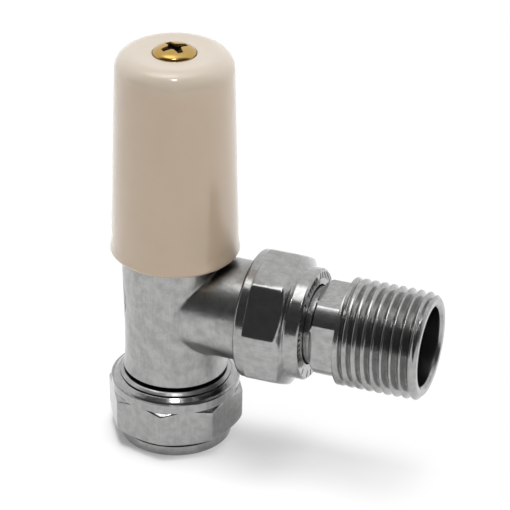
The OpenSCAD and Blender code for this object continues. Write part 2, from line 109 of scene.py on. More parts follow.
class ValveNutSizes(bpy.types.PropertyGroup):
    pipe_nut_flats: length("Pipe nut flats", "Width across flats of the pipe nut", 25)
    pipe_nut_turn: degrees("Pipe nut turn", "Angle of its first corner from +X", 9.3)
    union_nut_flats: length("Union nut flats", "Width across flats of the union nut", 25)
    union_nut_turn: degrees("Union nut turn", "Angle of its front flat above -Y", 31.4)
    edge: length("Edge", "How far the plating softens the machined edges", 0.14)
    mark_depth: length("Mark depth", "Depth of the pressed ticks on the union nut's face", 0.1)


class ValveTailSizes(bpy.types.PropertyGroup):
    gauge_radius: length("Gauge radius", "Radius over the crests at the gauge plane", 10.478)
    gauge_length: length("Gauge length", "Distance of the gauge plane from the end", 8.2)
    pitch: length("Pitch", "Distance from crest to crest", 1.814)
    depth: length("Depth", "Height of a crest above its root", 1.16)
    shank_radius: length("Shank radius", "Radius of the shank's round lands", 9.05)
    shank_flats: length("Shank flats", "Width across the shank's flats", 15.4)
    shank_turn: degrees("Shank turn", "Angle of its front flat above -Y", -3)


class ValveCapSizes(bpy.types.PropertyGroup):
    lip_radius: length("Lip radius", "Radius of the cap's bottom lip", 12.5)
    top_radius: length("Top radius", "Radius just below the shoulder", 11.3)
    shoulder: length("Shoulder", "Radius of the shoulder", 3.5)
    screw_radius: length("Screw radius", "Radius of the screw's head", 4.1)
    recess_turn: degrees("Recess turn", "Angle of the screw's cross recess", 50)


class ValveFinishes(bpy.types.PropertyGroup):
    forging: shade("Forging", "Nickel on the blasted forging", "#A3A3A2")
    nut: shade("Nuts", "Nickel on the turned nuts", "#A1A1A0")
    tail: shade("Tail", "Nickel on the turned tail", "#A2A2A1")
    cap: shade("Cap", "Cream moulded plastic", "#C2AD95")
    screw: shade("Screw", "Yellow passivated brass", "#B89B60")
    brass: shade("Brass", "Bare turned brass", "#C9A25A")
    floor: shade("Floor", "Studio floor", "#FFFFFF")


class ValveStageSettings(bpy.types.PropertyGroup):
    azimuth: degrees("Azimuth", "Camera angle round the valve from the front", 20.22)
    elevation: degrees("Elevation", "Camera angle above the horizon", 29.106)
    roll: degrees("Roll", "Camera roll", 0.784)
    camera_place: bpy.props.FloatVectorProperty(
        name="Camera place", description="Where the camera stands",
        default=(0.1648, -0.4032, 0.2814), subtype="TRANSLATION", unit="LENGTH", precision=4)
    lens: bpy.props.FloatProperty(
        name="Lens", description="Focal length in millimetres on a 36 mm sensor",
        default=2600 / 510 * 36)
    lamp_power: bpy.props.FloatProperty(
        name="Lamp power", description="Power of the small lamp over the camera", default=0.65,
        unit="POWER")
    lamp_elevation: degrees("Lamp elevation", "Height of that lamp above the horizon", 69)
    lamp_distance: length("Lamp distance", "Distance of that lamp from the valve", 700)
    lamp_width: length("Lamp width", "Width of that lamp", 80)
    lamp_height: length("Lamp height", "Height of that lamp's face", 100)
    ceiling_light: amount("Ceiling light", "Brightness of the tent's ceiling", 14)
    wall_light: amount("Wall light", "Brightness of the tent's back and sides", 0.5)
    opening_light: amount("Opening light", "Brightness of the tent's open side", 0.08)
    opening_turn: degrees("Opening turn", "Turn of the open side from the camera's side", -22)
    mirrored_ceiling: amount(
        "Mirrored ceiling", "Brightness of the bright patch that metal mirrors", 3)
    mirrored_wall: amount("Mirrored wall", "Brightness of the walls that metal mirrors", 1.15)
    patch_elevation: degrees("Patch elevation", "Height of that patch above the horizon", 75)
    patch_turn: degrees("Patch turn", "Turn of that patch from the camera's side", -110)
    floor_glow: amount(
        "Floor glow", "Share of plain white in the floor that is seen, past the tail's end", 0.83)
    near_glow: amount("Near glow", "The same share under the tail", 0.47)
    left_glow: amount("Left glow", "The same share on the pipe nut's far side", 0.12)
    behind_glow: amount(
        "Behind glow", "How far that share goes up to all white behind the valve", 0.92)
    mirrored_glow: amount(
        "Mirrored glow", "Share of plain white in the floor that metal mirrors", 0.35)


# Shapes

def new_piece(name, points, faces, arc=None):
    """A mesh object from points in millimetres. Its UV is (on a flat or not, way along it)."""
    mesh = bpy.data.meshes.new(name)
    mesh.from_pydata(np.asarray(points, float) * MM, [], faces)
    if arc is not None:
        layer = mesh.uv_layers.new(name="Turning")
        corners = np.empty(len(mesh.loops), int)
        mesh.loops.foreach_get("vertex_index", corners)
        layer.data.foreach_set("uv", np.asarray(arc, float)[corners].ravel())
    mesh.polygons.foreach_set("use_smooth", np.ones(len(mesh.polygons), bool))
    piece = bpy.data.objects.new(name, mesh)
    bpy.context.scene.collection.objects.link(piece)
    return piece


def rounded(corners, fillet, step):
    """Points along a turning profile, whose corners are (radius, height) or (.., .., fillet)."""
    flat = np.array([c[:2] for c in corners], float)
    out = [flat[0]]
    for i in range(1, len(flat)):
        a, b = flat[i - 1], flat[i]
        if i == len(flat) - 1:
            stop, bend = b, []
        else:
            c = flat[i + 1]
            u, v = a - b, c - b
            lu, lv = np.linalg.norm(u), np.linalg.norm(v)
            u, v = u / lu, v / lv
            turn = math.acos(np.clip(-(u @ v), -1, 1))
            want = corners[i][2] if len(corners[i]) > 2 else fillet
            back = min(want * math.tan(turn / 2), 0.45 * lu, 0.45 * lv)
            stop, bend = b + u * back, []
            if turn > 0.02 and back > 1e-4:
                leave = b + v * back
                count = max(3, int(turn / 0.2))
                for k in range(1, count + 1):
                    t = k / count
                    bend.append((1 - t) ** 2 * stop + 2 * t * (1 - t) * b + t * t * leave)
        start = out[-1]
        count = max(1, math.ceil(np.linalg.norm(stop - start) / step))
        out.extend(start + (stop - start) * k / count for k in range(1, count))
        out.append(stop)
        out.extend(bend)
    out = np.array(out)
    keep = np.r_[True, np.linalg.norm(np.diff(out, axis=0), axis=1) > 1e-6]
    return out[keep]


def ring_faces(rows, columns, closed=False):
    """Quads over a grid of rows that wraps round in its columns."""
    row = np.arange(rows if closed else rows - 1)[:, None]
    column = np.arange(columns)[None, :]
    a = row * columns + column
    b = row * columns + (column + 1) % columns
    up = (row + 1) % rows
    c, d = up * columns + (column + 1) % columns, up * columns + column
    return np.stack([a, b, c, d], -1).reshape(-1, 4).tolist()


def soft_min(a, b, width):
    """The smaller of two values, with the change from one to the other softened."""
    return 0.5 * (a + b - np.sqrt((a - b) ** 2 + width ** 2))


def polygon_radius(angles, flats, across, turn, edge):
    """Radius at each angle of a polygon with soft corners. One flat faces the angle turn."""
    step = 2 * math.pi / flats
    near = np.round((angles - turn) / step) * step + turn
    side = np.where(angles > near, step, -step)
    one = across / 2 / np.cos(angles - near)
    two = across / 2 / np.cos(angles - near - side)
    return soft_min(one, two, edge)


def upright(radius, angle, height):
    """Turning coordinates to points, for a piece on the pipe axis."""
    return np.stack([radius * np.cos(angle), radius * np.sin(angle), height], -1)


def level(radius, angle, along):
    """The same for a piece on the branch axis, where angle 0 faces -Y and 90 degrees faces up."""
    return np.stack([along, -radius * np.cos(angle), BRANCH_Z + radius * np.sin(angle)], -1)


def turned(name, profile, place, columns, shape=None, closed=True):
    """Turns a profile of (radius, height) points, which shape() may change at each angle."""
    angle = np.linspace(0, 2 * math.pi, columns, endpoint=False)
    radius = np.repeat(profile[:, 0][:, None], columns, 1)
    height = np.repeat(profile[:, 1][:, None], columns, 1)
    angles = np.repeat(angle[None, :], len(profile), 0)
    on_flat = 0 * radius
    if shape is not None:
        plain = radius
        radius, height = shape(radius, angles, height)
        on_flat = (plain - radius > 0.03) * 1.0
    way = np.r_[0, np.cumsum(np.linalg.norm(np.diff(profile, axis=0), axis=1))]
    arc = np.stack([on_flat, np.repeat(way[:, None], columns, 1) * MM], -1)
    faces = ring_faces(len(profile), columns, closed)
    if place is level:
        faces = [f[::-1] for f in faces]
    return new_piece(name, place(radius, angles, height).reshape(-1, 3), faces, arc.reshape(-1, 2))


def helix_sheet(name, start, stop, radius_at, depth_at, pitch, place, columns=144, phase=0):
    """A right-hand thread's surface from start to stop, cut square at both ends."""
    # one turn's profile, from root to root: share of the pitch, and share of the depth
    form = np.array([
        (0.00, 1.0), (0.02, 0.985), (0.06, 0.9), (0.2, 0.575), (0.38, 0.16), (0.415, 0.06),
        (0.455, 0.01), (0.5, 0.0), (0.545, 0.01), (0.585, 0.06), (0.62, 0.16), (0.8, 0.575),
        (0.94, 0.9), (0.98, 0.985)])
    per = len(form)
    turns = math.ceil((stop - start) / pitch) + 3
    share = np.tile(form[:, 0], turns) + np.repeat(np.arange(turns), per)
    drop = np.tile(form[:, 1], turns)
    angle = np.linspace(0, 2 * math.pi, columns, endpoint=False)
    hand = 1 if place is upright else -1
    offset = start - (2 if hand > 0 else 1) * pitch + phase * pitch
    along = offset + (share[:, None] + hand * angle[None, :] / (2 * math.pi)) * pitch
    radius = radius_at(along) - depth_at(along) * drop[:, None]
    angles = np.repeat(angle[None, :], len(share), 0)
    points = place(radius, angles, along).reshape(-1, 3)
    rows = len(share)
    faces = []
    for i in range(rows - 1):
        for j in range(columns):
            if j < columns - 1:
                faces.append((i * columns + j, i * columns + j + 1,
                              (i + 1) * columns + j + 1, (i + 1) * columns + j))
            else:
                k = i + hand * per
                if 0 <= k < rows - 1:
                    faces.append((i * columns + j, k * columns,
                                  (k + 1) * columns, (i + 1) * columns + j))
    if place is level:
        faces = [f[::-1] for f in faces]
    arc = np.stack([0 * angles, (share[:, None] + 0 * angles) * pitch * MM], -1)
    piece = new_piece(name, points, faces, arc.reshape(-1, 2))
    axis = Vector((0, 0, 1)) if place is upright else Vector((1, 0, 0))
    trim(piece, axis * start * MM, -axis)
    trim(piece, axis * stop * MM, axis)
    return piece


def trim(piece, point, normal):
    """Cuts a mesh with a plane and drops what lies on the normal's side."""
    work = bmesh.new()
    work.from_mesh(piece.data)
    bmesh.ops.bisect_plane(
        work, geom=work.verts[:] + work.edges[:] + work.faces[:], dist=1e-8,
        plane_co=point, plane_no=normal, clear_outer=True)
    work.to_mesh(piece.data)
    work.free()


def joined(name, parts):
    """One object from several, which go."""
    work = bmesh.new()
    for part in parts:
        work.from_mesh(part.data)
    mesh = bpy.data.meshes.new(name)
    work.to_mesh(mesh)
    work.free()
    for part in parts:
        bpy.data.objects.remove(part)
    piece = bpy.data.objects.new(name, mesh)
    bpy.context.scene.collection.objects.link(piece)
    return piece


def copy_of(node, drop):
    """A copy of a node's mesh, in world place, without the faces whose centre drop() picks."""
    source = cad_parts[node]
    work = bmesh.new()
    work.from_mesh(source.data)
    work.transform(source.matrix_world)
    gone = [f for f in work.faces if drop(f.calc_center_median() / MM, f.normal)]
    bmesh.ops.delete(work, geom=gone, context="FACES")
    mesh = bpy.data.meshes.new(node + "_inside")
    work.to_mesh(mesh)
    work.free()
    piece = bpy.data.objects.new(node + "_inside", mesh)
    bpy.context.scene.collection.objects.link(piece)
    return piece


def smooth(piece, sharpest=180):
    """Shades a piece smooth, apart from edges that turn by more than an angle in degrees."""
    piece.data.polygons.foreach_set("use_smooth", np.ones(len(piece.data.polygons), bool))
    if sharpest < 180:
        piece.data.set_sharp_from_angle(angle=math.radians(sharpest))


def finish_piece(piece, material, body, node):
    """Gives a piece its material, its body and the node that it stands for."""
    piece.data.materials.clear()
    piece.data.materials.append(material)
    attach(piece, body)
    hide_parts(node)


# Materials

def linear(code):
    """An sRGB hex colour as linear red, green, blue and alpha."""
    parts = [int(code[i:i + 2], 16) / 255 for i in (1, 3, 5)]
    return [p / 12.92 if p <= 0.04045 else ((p + 0.055) / 1.055) ** 2.4 for p in parts] + [1]


def add_node(tree, kind, inputs=(), **settings):
    """Adds a node with its settings. Each input is a value, or the socket that feeds it."""
    node = tree.nodes.new(kind)
    for key, value in settings.items():
        setattr(node, key, value)
    for key, value in dict(inputs).items():
        if isinstance(value, bpy.types.NodeSocket):
            tree.links.new(value, node.inputs[key])
        else:
            node.inputs[key].default_value = value
    return node


def new_material(name):
    """A new node material, its tree and its shader."""
    material = bpy.data.materials.new(name)
    material.use_nodes = True
    tree = material.node_tree
    return material, tree, tree.nodes["Principled BSDF"]


def marks_or_painted_shade(material, mark, colour, bare=False):
    """Mixes a colour into a material where mark is 1: pressed marks, or painted shade. With bare,
    metal doesn't show there.
    """
    tree = material.node_tree
    shader = tree.nodes["Principled BSDF"]
    mixed = add_node(tree, "ShaderNodeMix", {
        "Factor": mark, "A": shader.inputs["Base Color"].links[0].from_socket,
        "B": linear(colour)}, data_type="RGBA")
    tree.links.new(mixed.outputs["Result"], shader.inputs["Base Color"])
    if bare:
        metal = add_node(tree, "ShaderNodeMath", {0: 1.0, 1: mark}, operation="SUBTRACT")
        tree.links.new(metal.outputs["Value"], shader.inputs["Metallic"])


def nickel(name, colour, patch, cloud_mm, rough, spread, grain_mm, grain_depth, lathe_depth,
           wave_mm, wave_depth, streak_depth, along):
    """Nickel plate on brass, which copies what is under it: blast grain, lathe or die lines."""
    material, tree, shader = new_material(name)
    shader.inputs["Metallic"].default_value = 1
    place = add_node(tree, "ShaderNodeTexCoord")
    # clouds a few millimetres wide, where the plate is a little duller
    cloud = add_node(tree, "ShaderNodeTexNoise", {
        "Vector": place.outputs["Object"], "Scale": 1 / (cloud_mm * MM), "Detail": 6,
        "Roughness": 0.62})
    clear = add_node(tree, "ShaderNodeMapRange", {
        "Value": cloud.outputs["Fac"], "From Min": 0.36, "From Max": 0.64})
    # die lines of the drawn bar, along the flats
    long = add_node(tree, "ShaderNodeMapping", {
        "Vector": place.outputs["Object"], "Scale": along})
    streak = add_node(tree, "ShaderNodeTexNoise", {
        "Vector": long.outputs["Vector"], "Scale": 1 / (0.4 * MM), "Detail": 3, "Roughness": 0.6})
    streaked = add_node(tree, "ShaderNodeMath", {
        0: streak.outputs["Fac"], 1: 0.5}, operation="SUBTRACT")
    shaded = add_node(tree, "ShaderNodeMath", {
        0: streaked.outputs["Value"], 1: 1.2, 2: clear.outputs["Result"]},
        operation="MULTIPLY_ADD", use_clamp=True)
    tint = add_node(tree, "ShaderNodeMix", {
        "Factor": shaded.outputs["Value"], "A": linear(colour), "B": linear(patch)},
        data_type="RGBA")
    tree.links.new(tint.outputs["Result"], shader.inputs["Base Color"])
    # fine grain of the blasted or drawn surface
    grain = add_node(tree, "ShaderNodeTexNoise", {
        "Vector": place.outputs["Object"], "Scale": 1 / (grain_mm * MM), "Detail": 3,
        "Roughness": 0.6})
    # lathe lines follow the way along the profile, the second value of the mesh's UV. They are
    # finer than 0.1 mm in the real thing, and drawn at 0.16 mm so that they show
    way = add_node(tree, "ShaderNodeUVMap", uv_map="Turning")
    split = add_node(tree, "ShaderNodeSeparateXYZ", {"Vector": way.outputs["UV"]})
    lines = add_node(tree, "ShaderNodeTexNoise", {
        "W": split.outputs["Y"], "Scale": 1 / (0.16 * MM), "Detail": 2, "Roughness": 0.7},
        noise_dimensions="1D")
    clouded = add_node(tree, "ShaderNodeMath", {
        0: cloud.outputs["Fac"], 1: spread, 2: rough - spread / 2}, operation="MULTIPLY_ADD")
    grained = add_node(tree, "ShaderNodeMath", {
        0: grain.outputs["Fac"], 1: spread * 0.6, 2: clouded.outputs["Value"]},
        operation="MULTIPLY_ADD")
    tree.links.new(grained.outputs["Value"], shader.inputs["Roughness"])
    bump_grain = add_node(tree, "ShaderNodeBump", {
        "Height": grain.outputs["Fac"], "Distance": grain_depth * MM, "Strength": 1})
    turned_share = add_node(tree, "ShaderNodeMath", {
        0: 1.0, 1: split.outputs["X"]}, operation="SUBTRACT")
    bump_lines = add_node(tree, "ShaderNodeBump", {
        "Height": lines.outputs["Fac"], "Distance": lathe_depth * MM,
        "Strength": turned_share.outputs["Value"], "Normal": bump_grain.outputs["Normal"]})
    # slow waves left by forging and by the tumbler
    wave = add_node(tree, "ShaderNodeTexNoise", {
        "Vector": place.outputs["Object"], "Scale": 1 / (wave_mm * MM), "Detail": 2,
        "Roughness": 0.5})
    bump_waves = add_node(tree, "ShaderNodeBump", {
        "Height": wave.outputs["Fac"], "Distance": wave_depth * MM, "Strength": 1,
        "Normal": bump_lines.outputs["Normal"]})
    bump_streaks = add_node(tree, "ShaderNodeBump", {
        "Height": streak.outputs["Fac"], "Distance": streak_depth * MM,
        "Strength": split.outputs["X"], "Normal": bump_waves.outputs["Normal"]})
    tree.links.new(bump_streaks.outputs["Normal"], shader.inputs["Normal"])
    return material


def press_ticks(material, face_x, depth):
    """Short pressed strokes round the union nut's end face, as a pattern in its material."""
    strokes, share_wide, share_left_out = 54, 0.44, 0.25
    middle_r, half_long = 9.6 * MM, 0.62 * MM
    tree = material.node_tree
    shader = tree.nodes["Principled BSDF"]
    place = add_node(tree, "ShaderNodeTexCoord")
    axis = add_node(tree, "ShaderNodeSeparateXYZ", {"Vector": place.outputs["Object"]})
    lifted = add_node(tree, "ShaderNodeMath", {
        0: axis.outputs["Z"], 1: BRANCH_Z * MM}, operation="SUBTRACT")
    angle = add_node(tree, "ShaderNodeMath", {
        0: lifted.outputs["Value"], 1: axis.outputs["Y"]}, operation="ARCTAN2")
    flat = add_node(tree, "ShaderNodeCombineXYZ", {
        "X": axis.outputs["Y"], "Y": lifted.outputs["Value"]})
    radius = add_node(tree, "ShaderNodeVectorMath", {0: flat.outputs["Vector"]},
                      operation="LENGTH")
    count = add_node(tree, "ShaderNodeMath", {
        0: angle.outputs["Value"], 1: strokes / (2 * math.pi)}, operation="MULTIPLY")
    share = add_node(tree, "ShaderNodeMath", {
        0: count.outputs["Value"], 1: 1.0, 2: 0.0}, operation="WRAP")
    stroke = add_node(tree, "ShaderNodeMath", {
        0: share.outputs["Value"], 1: 0.5, 2: share_wide / 2}, operation="COMPARE")
    number = add_node(tree, "ShaderNodeMath", {0: count.outputs["Value"]}, operation="FLOOR")
    random = add_node(tree, "ShaderNodeTexWhiteNoise", {
        "W": number.outputs["Value"]}, noise_dimensions="1D")
    kept = add_node(tree, "ShaderNodeMath", {
        0: random.outputs["Value"], 1: share_left_out}, operation="GREATER_THAN")
    band = add_node(tree, "ShaderNodeMath", {
        0: radius.outputs["Value"], 1: middle_r, 2: half_long}, operation="COMPARE")
    front = add_node(tree, "ShaderNodeMath", {
        0: axis.outputs["X"], 1: (face_x - 0.3) * MM}, operation="GREATER_THAN")
    mark = stroke
    for other in (kept, band, front):
        mark = add_node(tree, "ShaderNodeMath", {
            0: mark.outputs["Value"], 1: other.outputs["Value"]}, operation="MULTIPLY")
    marks_or_painted_shade(material, mark.outputs["Value"], "#161616", bare=True)
    dull = add_node(tree, "ShaderNodeMath", {
        0: mark.outputs["Value"], 1: shader.inputs["Roughness"].links[0].from_socket},
        operation="MAXIMUM")
    tree.links.new(dull.outputs["Value"], shader.inputs["Roughness"])
    sunk = add_node(tree, "ShaderNodeBump", {
        "Height": mark.outputs["Value"], "Distance": depth, "Strength": 1,
        "Normal": shader.inputs["Normal"].links[0].from_socket}, invert=True)
    tree.links.new(sunk.outputs["Normal"], shader.inputs["Normal"])


def cream_plastic(colour):
    """ABS from a spark-finished tool: satin, with a fine even grain and faint flow shades."""
    material, tree, shader = new_material("cream_abs_moulded")
    place = add_node(tree, "ShaderNodeTexCoord")
    cloud = add_node(tree, "ShaderNodeTexNoise", {
        "Vector": place.outputs["Object"], "Scale": 1 / (9 * MM), "Detail": 3})
    tint = add_node(tree, "ShaderNodeMix", {
        "Factor": cloud.outputs["Fac"], "A": linear(colour), "B": linear("#BCA790")},
        data_type="RGBA")
    # painted light: the crown is mixed paler and greyer than the side, rising toward the top
    axis = add_node(tree, "ShaderNodeSeparateXYZ", {"Vector": place.outputs["Object"]})
    crown_light_share = add_node(tree, "ShaderNodeMapRange", {
        "Value": axis.outputs["Z"], "From Min": (CAP_HIGH.z - 5) * MM,
        "From Max": (CAP_HIGH.z - 0.8) * MM}, interpolation_type="SMOOTHSTEP")
    painted_crown_light = add_node(tree, "ShaderNodeMix", {
        "Factor": crown_light_share.outputs["Result"], "A": tint.outputs["Result"],
        "B": linear("#BFB3A3")}, data_type="RGBA")
    tree.links.new(painted_crown_light.outputs["Result"], shader.inputs["Base Color"])
    # the real grain is near 0.05 mm; drawn at 0.12 mm so that it shows in the render
    grain = add_node(tree, "ShaderNodeTexNoise", {
        "Vector": place.outputs["Object"], "Scale": 1 / (0.12 * MM), "Detail": 2})
    rough = add_node(tree, "ShaderNodeMapRange", {
        "Value": grain.outputs["Fac"], "To Min": 0.3, "To Max": 0.42})
    tree.links.new(rough.outputs["Result"], shader.inputs["Roughness"])
    bump = add_node(tree, "ShaderNodeBump", {
        "Height": grain.outputs["Fac"], "Distance": 0.004 * MM, "Strength": 1})
    tree.links.new(bump.outputs["Normal"], shader.inputs["Normal"])
    shader.inputs["IOR"].default_value = 1.53
    shader.inputs["Specular IOR Level"].default_value = 0.25
    shader.inputs["Coat Weight"].default_value = 0.9
    shader.inputs["Coat Roughness"].default_value = 0.06
    shader.inputs["Sheen Weight"].default_value = 0.2
    shader.inputs["Sheen Roughness"].default_value = 0.4
    shader.inputs["Subsurface Weight"].default_value = 0.05
    shader.inputs["Subsurface Radius"].default_value = (1.0 * MM, 0.7 * MM, 0.4 * MM)
    return material


def plain_metal(name, colour, patch, rough, lines_mm, depth):
    """Turned metal with no plate: fine turning marks round it and a slightly uneven tone."""
    material, tree, shader = new_material(name)
    shader.inputs["Metallic"].default_value = 1
    place = add_node(tree, "ShaderNodeTexCoord")
    cloud = add_node(tree, "ShaderNodeTexNoise", {
        "Vector": place.outputs["Object"], "Scale": 1 / (3 * MM), "Detail": 4})
    tint = add_node(tree, "ShaderNodeMix", {
        "Factor": cloud.outputs["Fac"], "A": linear(colour), "B": linear(patch)}, data_type="RGBA")
    tree.links.new(tint.outputs["Result"], shader.inputs["Base Color"])
    stretch = add_node(tree, "ShaderNodeMapping", {
        "Vector": place.outputs["Object"], "Scale": (0.1, 0.1, 1)})
    lines = add_node(tree, "ShaderNodeTexNoise", {
        "Vector": stretch.outputs["Vector"], "Scale": 1 / (lines_mm * MM), "Detail": 2})
    worn = add_node(tree, "ShaderNodeMapRange", {
        "Value": lines.outputs["Fac"], "To Min": rough - 0.06, "To Max": rough + 0.08})
    tree.links.new(worn.outputs["Result"], shader.inputs["Roughness"])
    bump = add_node(tree, "ShaderNodeBump", {
        "Height": lines.outputs["Fac"], "Distance": depth * MM, "Strength": 1})
    tree.links.new(bump.outputs["Normal"], shader.inputs["Normal"])
    return material


def painted_crease_shade(material, reach):
    """Painted shade: darkens the colour in the tightest inside corners, by occlusion within a
    reach in mm.
    """
    tree = material.node_tree
    open_share = add_node(tree, "ShaderNodeAmbientOcclusion", {"Distance": reach * MM}, samples=8)
    tight = add_node(tree, "ShaderNodeMapRange", {
        "Value": open_share.outputs["AO"], "From Min": 0.6, "From Max": 0.3})
    marks_or_painted_shade(material, tight.outputs["Result"], "#2A2A29")


def painted_recess_shade(material, reach, start):
    """Painted shade in a screw's recess: a dark colour over all within a radius and below a
    height, in mm.
    """
    tree = material.node_tree
    place = add_node(tree, "ShaderNodeTexCoord")
    axis = add_node(tree, "ShaderNodeSeparateXYZ", {"Vector": place.outputs["Object"]})
    across = add_node(tree, "ShaderNodeVectorMath", {
        0: place.outputs["Object"], 1: (1, 1, 0)}, operation="MULTIPLY")
    radius = add_node(tree, "ShaderNodeVectorMath", {0: across.outputs["Vector"]},
                      operation="LENGTH")
    within = add_node(tree, "ShaderNodeMath", {0: radius.outputs["Value"], 1: reach * MM},
                      operation="LESS_THAN")
    deep = add_node(tree, "ShaderNodeMapRange", {
        "Value": axis.outputs["Z"], "From Min": start * MM, "From Max": (start - 0.3) * MM})
    recess_shade_mask = add_node(tree, "ShaderNodeMath", {
        0: within.outputs["Value"], 1: deep.outputs["Result"]}, operation="MULTIPLY")
    marks_or_painted_shade(material, recess_shade_mask.outputs["Value"], "#1A140C", bare=True)


def soft_solid(name, colour, patch, rough, grain_mm, depth):
    """Rubber, fibre or fluoropolymer: dull, with a fine moulded or pressed grain."""
    material, tree, shader = new_material(name)
    place = add_node(tree, "ShaderNodeTexCoord")
    grain = add_node(tree, "ShaderNodeTexNoise", {
        "Vector": place.outputs["Object"], "Scale": 1 / (grain_mm * MM), "Detail": 4})
    tint = add_node(tree, "ShaderNodeMix", {
        "Factor": grain.outputs["Fac"], "A": linear(colour), "B": linear(patch)}, data_type="RGBA")
    tree.links.new(tint.outputs["Result"], shader.inputs["Base Color"])
    worn = add_node(tree, "ShaderNodeMapRange", {
        "Value": grain.outputs["Fac"], "To Min": rough - 0.08, "To Max": rough + 0.08})
    tree.links.new(worn.outputs["Result"], shader.inputs["Roughness"])
    bump = add_node(tree, "ShaderNodeBump", {
        "Height": grain.outputs["Fac"], "Distance": depth * MM, "Strength": 1})
    tree.links.new(bump.outputs["Normal"], shader.inputs["Normal"])
    return material


# Operators, one for each piece or group of pieces

class VALVE_OT_body(bpy.types.Operator):
    """Adds the forged body's outer skin and its two male threads"""
    bl_idname = "valve.body"
    bl_label = "Forged body"

    def execute(self, context):
        size = context.scene.valve_body
        finish = context.scene.valve_finishes
        waist, shoulder = size.waist_radius / MM, size.shoulder_radius / MM
        branch = size.branch_radius / MM
        thread = size.thread_radius / MM
        pitch = size.thread_pitch / MM
        foot_z, neck_z, branch_x = 15.1, 40.05, 16.2  # where the new skin ends
        barrel_z, barrel_long, branch_long = 27.6, 30, 18.5  # the blank, before it is shaped

        # barrel: flared foot, waist, and a slow swell up into the cap
        heights = np.array([10.0, 15.1, 16.4, 18.5, 23.7, 29.7, 34, 37, 45])
        radii = np.array([waist + 0.4, waist + 0.35, waist + 0.14, waist, waist, waist + 0.1,
                          waist + 0.3, shoulder, shoulder])

        def forging(p):
            """How far each point lies outside the body: barrel and branch, softly joined."""
            across = np.hypot(p[:, 0], p[:, 1]) - np.interp(p[:, 2], heights, radii)
            along = np.hypot(p[:, 1], p[:, 2] - BRANCH_Z) - branch
            along = np.maximum(along, -p[:, 0])
            soft = size.crease_fillet / MM
            h = np.clip(0.5 + 0.5 * (along - across) / soft, 0, 1)
            return along * (1 - h) + across * h - soft * h * (1 - h)

        rough = bmesh.new()
        bmesh.ops.create_cone(
            rough, segments=96, radius1=10 * MM, radius2=10 * MM, depth=barrel_long * MM,
            cap_ends=True, matrix=Matrix.Translation((0, 0, barrel_z * MM)))
        bmesh.ops.create_cone(
            rough, segments=96, radius1=9.7 * MM, radius2=9.7 * MM, depth=branch_long * MM,
            cap_ends=True, matrix=Matrix.Translation((branch_long / 2 * MM, 0, BRANCH_Z * MM))
            @ Euler((0, math.pi / 2, 0)).to_matrix().to_4x4())
        mesh = bpy.data.meshes.new("forging_blank")
        rough.to_mesh(mesh)
        rough.free()
        blank = bpy.data.objects.new("forging_blank", mesh)
        context.scene.collection.objects.link(blank)
        remesh = blank.modifiers.new("Remesh", "REMESH")
        remesh.mode, remesh.voxel_size = "VOXEL", 0.26 * MM
        done = blank.evaluated_get(context.evaluated_depsgraph_get())
        skin_mesh = bpy.data.meshes.new_from_object(done)
        skin = bpy.data.objects.new("forging_skin", skin_mesh)
        context.scene.collection.objects.link(skin)
        bpy.data.objects.remove(blank)
        # each point slides onto the drawn surface
        points = np.empty(len(skin_mesh.vertices) * 3)
        skin_mesh.vertices.foreach_get("co", points)
        points = points.reshape(-1, 3) / MM
        for _ in range(5):
            value = forging(points)
            slope = np.stack([
                (forging(points + d) - forging(points - d)) / 0.002
                for d in np.eye(3) * 0.001], -1)
            slope /= np.maximum((slope ** 2).sum(1), 0.2)[:, None]
            points -= np.clip(value[:, None] * slope, -0.4, 0.4)
        skin_mesh.vertices.foreach_set("co", (points * MM).ravel())
        skin_mesh.update()
        trim(skin, Vector((0, 0, foot_z * MM)), Vector((0, 0, -1)))
        trim(skin, Vector((0, 0, neck_z * MM)), Vector((0, 0, 1)))
        trim(skin, Vector((branch_x * MM, 0, 0)), Vector((1, 0, 0)))

        def outside(c, normal):
            """Faces of the CAD body that the new skin and threads stand for."""
            barrel = math.hypot(c.x, c.y)
            arm = math.hypot(c.y, c.z - BRANCH_Z)
            if foot_z < c.z < neck_z and barrel > 9.3 and c.x < branch_x - 0.01 and arm > 5.8:
                return True
            if c.z > foot_z and c.x > 0 and arm > 8.5 and barrel > 9 and c.x < branch_x - 0.01:
                return True
            if abs(barrel - thread) < 0.06 and 6.9 < c.z < 13.6:
                return True
            if 13.4 < c.z < foot_z + 0.01 and barrel > 9.3:
                return True
            return abs(arm - thread) < 0.06 and 17.0 < c.x < 20.7

        inside = copy_of("valve_body", outside)

        def fade(lo, hi):
            """Depth of a thread that runs in at both ends."""
            depth = size.thread_depth / MM
            return lambda x: depth * np.clip((x - lo) / 1.2, 0, 1) * np.clip((hi - x) / 1.2, 0, 1)

        pipe_thread = helix_sheet(
            "pipe_thread", 6.5, 13.7, lambda z: thread + 0 * z, fade(6.5, 13.7), pitch, upright)
        union_thread = helix_sheet(
            "union_thread", 16.9, 20.8, lambda x: thread + 0 * x, fade(16.9, 20.8), pitch, level)
        ring = turned("foot_ring", rounded([
            (9.6, 13.5), (10.6, 13.5, 0.1), (10.9, 13.55, 0.1), (10.45, 13.95, 0.2),
            (10.2, 14.12, 0.1), (8.8, 14.12, 0.15), (8.8, 15.05, 0.1), (9.9, 15.05, 0.1),
            (10.15, foot_z)],
            0.1, 0.15), upright, 240, None, closed=False)
        body = joined("forged_body", [inside, skin, ring, pipe_thread, union_thread])
        smooth(body, 32)
        # satin nickel over a blasted brass forging: an even light grey with a soft sparkle
        plate = nickel(
            "nickel_on_blasted_forging", finish.forging, patch="#8F8F8E", cloud_mm=2.2,
            rough=0.27, spread=0.06, grain_mm=0.22, grain_depth=0.006, lathe_depth=0,
            wave_mm=1.6, wave_depth=0.05, streak_depth=0, along=(1, 1, 0.12))
        # painted shade, mixed into the plate's colour in the crease round the branch and under the
        # cap
        painted_crease_shade(plate, 7)
        finish_piece(body, plate, "valve", "valve_body")
        return {"FINISHED"}


